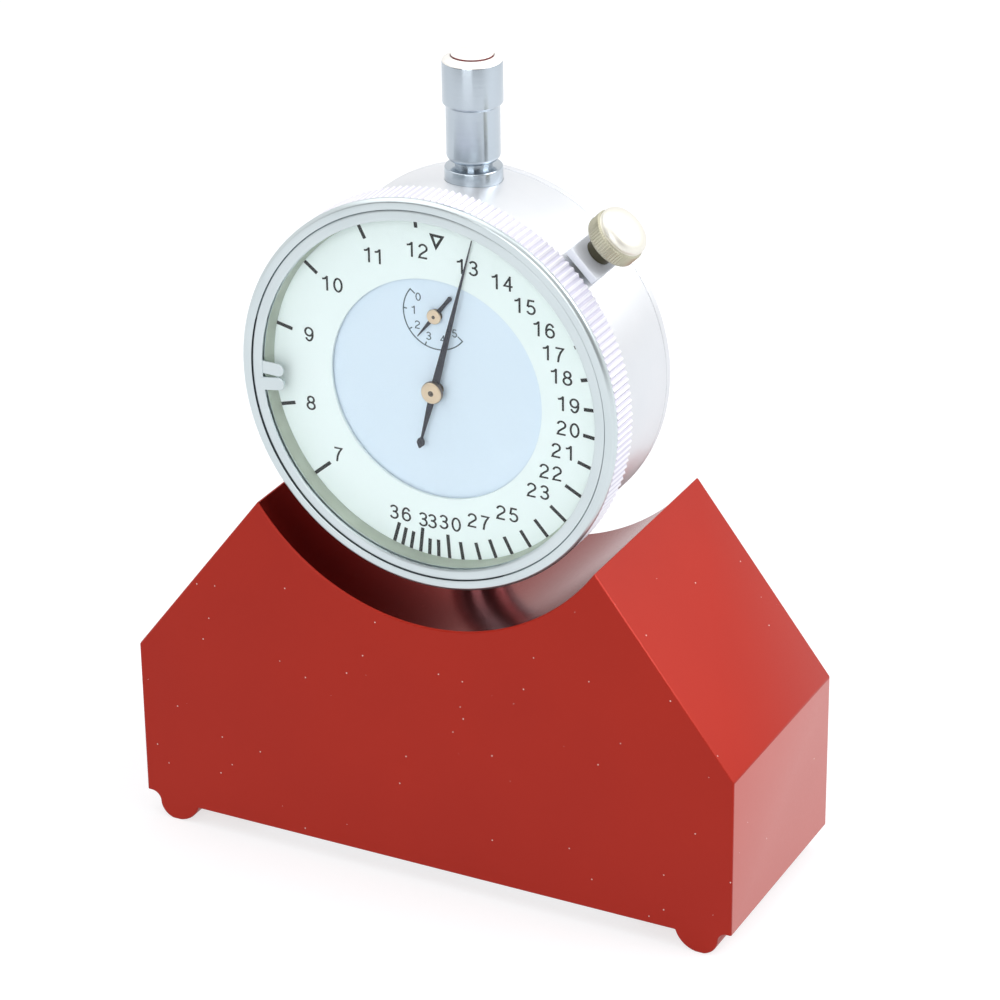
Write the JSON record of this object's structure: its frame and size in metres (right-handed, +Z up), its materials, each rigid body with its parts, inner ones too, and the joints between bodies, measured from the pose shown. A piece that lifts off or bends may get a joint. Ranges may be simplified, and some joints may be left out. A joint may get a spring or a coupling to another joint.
{
  "type": "screen tension meter",
  "caption": "Desktop screen tension meter: a saddle block on foot ribs with a sprung measuring bar under it, read on a dial indicator with a small turn counter, a turning bezel and its lock screw.",
  "frame": {"origin": "middle of the measuring bar's land, in the plane that the two foot ribs stand on", "axes": "+Z up along the spindle, +X along the block with 3 o'clock of the dial, -Y out of the dial towards the reader"},
  "size_m": [0.0954, 0.0344, 0.1217],
  "materials": {
    "red_anodised": "red anodised, satin",
    "satin_case": "satin",
    "bright_steel": "turned and polished",
    "spring_steel": "plain",
    "blued_steel": "blue-black",
    "brass": "turned",
    "nickelled_brass": "nickelled, knurled",
    "dial_white": "matt print",
    "dial_blue": "matt print",
    "crystal": "clear, flat"
  },
  "bodies": {
    "stand": {"base_block": "red_anodised", "bottom_plate": "bright_steel", "bottom_screw_1": "spring_steel", "bottom_screw_2": "spring_steel", "bottom_screw_3": "spring_steel", "bottom_screw_4": "spring_steel", "stem_set_screw": "spring_steel", "gauge_case": "satin_case", "gauge_back_cover": "satin_case", "back_screw_1": "spring_steel", "back_screw_2": "spring_steel", "back_screw_3": "spring_steel", "back_screw_4": "spring_steel", "gauge_stem": "bright_steel", "stem_bush": "brass", "top_bush": "bright_steel", "dust_cap": "bright_steel", "cap_disc": "bright_steel", "front_plate": "brass", "middle_plate": "brass", "rear_bridge": "brass", "bridge_screw_1": "spring_steel", "bridge_screw_2": "spring_steel", "pillar_1": "brass", "pillar_2": "brass", "pillar_3": "brass", "plate_screw_1": "spring_steel", "plate_screw_2": "spring_steel", "plate_screw_3": "spring_steel", "spindle_guide_block": "brass", "inner_dial": "dial_blue", "bezel_clamp": "satin_case"},
    "bar_and_spindle": {"measuring_bar": "bright_steel", "anvil_button": "bright_steel", "bar_guide_pin_left": "bright_steel", "bar_guide_pin_right": "bright_steel", "bar_spring_left": "spring_steel", "bar_spring_right": "spring_steel", "spindle": "bright_steel", "contact_point": "bright_steel", "spindle_guide_pin": "bright_steel", "spindle_return_spring": "spring_steel"},
    "rack_gear": {"rack_gear_arbor": "bright_steel", "rack_gear_wheel": "brass"},
    "pointer_train": {"centre_arbor": "bright_steel", "main_pointer": "blued_steel", "pointer_hub": "brass"},
    "counter_train": {"counter_arbor": "bright_steel", "counter_wheel": "brass", "counter_pointer": "blued_steel", "counter_hub": "brass", "hairspring": "spring_steel"},
    "bezel_and_dial": {"bezel": "satin_case", "outer_dial": "dial_white", "crystal": "crystal", "snap_ring": "bright_steel"},
    "bezel_lock": {"lock_screw": "nickelled_brass"}
  },
  "joints": [
    {"name": "bar_travel", "type": "slide", "parent": "stand", "child": "bar_and_spindle", "axis": [0, 0, 1], "range_m": [-0.0025, 0.0005], "stiffness_N_per_m": 400, "springref_m": -0.005, "deforming": ["bar_spring_left", "bar_spring_right", "spindle_return_spring"]},
    {"name": "rack_gear_turn", "type": "hinge", "parent": "stand", "child": "rack_gear", "pos_m": [-0.003, 0, 0.06612], "axis": [0, -1, 0], "range_deg": [-91, 19]},
    {"name": "pointer_turn", "type": "hinge", "parent": "stand", "child": "pointer_train", "pos_m": [0, 0, 0.07665], "axis": [0, -1, 0], "range_deg": [-181, 901]},
    {"name": "counter_turn", "type": "hinge", "parent": "stand", "child": "counter_train", "pos_m": [0, 0, 0.08759], "axis": [0, -1, 0], "range_deg": [-91, 19], "deforming": ["hairspring"]},
    {"name": "bezel_turn", "type": "hinge", "parent": "stand", "child": "bezel_and_dial", "pos_m": [0, 0, 0.07665], "axis": [0, -1, 0], "continuous": true},
    {"name": "lock_turn", "type": "hinge", "parent": "stand", "child": "bezel_lock", "pos_m": [0.02, -0.005, 0.09665], "axis": [0.7071, 0, 0.7071], "range_deg": [0, 360]}
  ],
  "couplings": [
    {"joint": "rack_gear_turn", "follows": "bar_travel", "rad_per_m": 628.32},
    {"joint": "pointer_turn", "follows": "bar_travel", "rad_per_m": -6283.2},
    {"joint": "counter_turn", "follows": "bar_travel", "rad_per_m": 628.32}
  ]
}
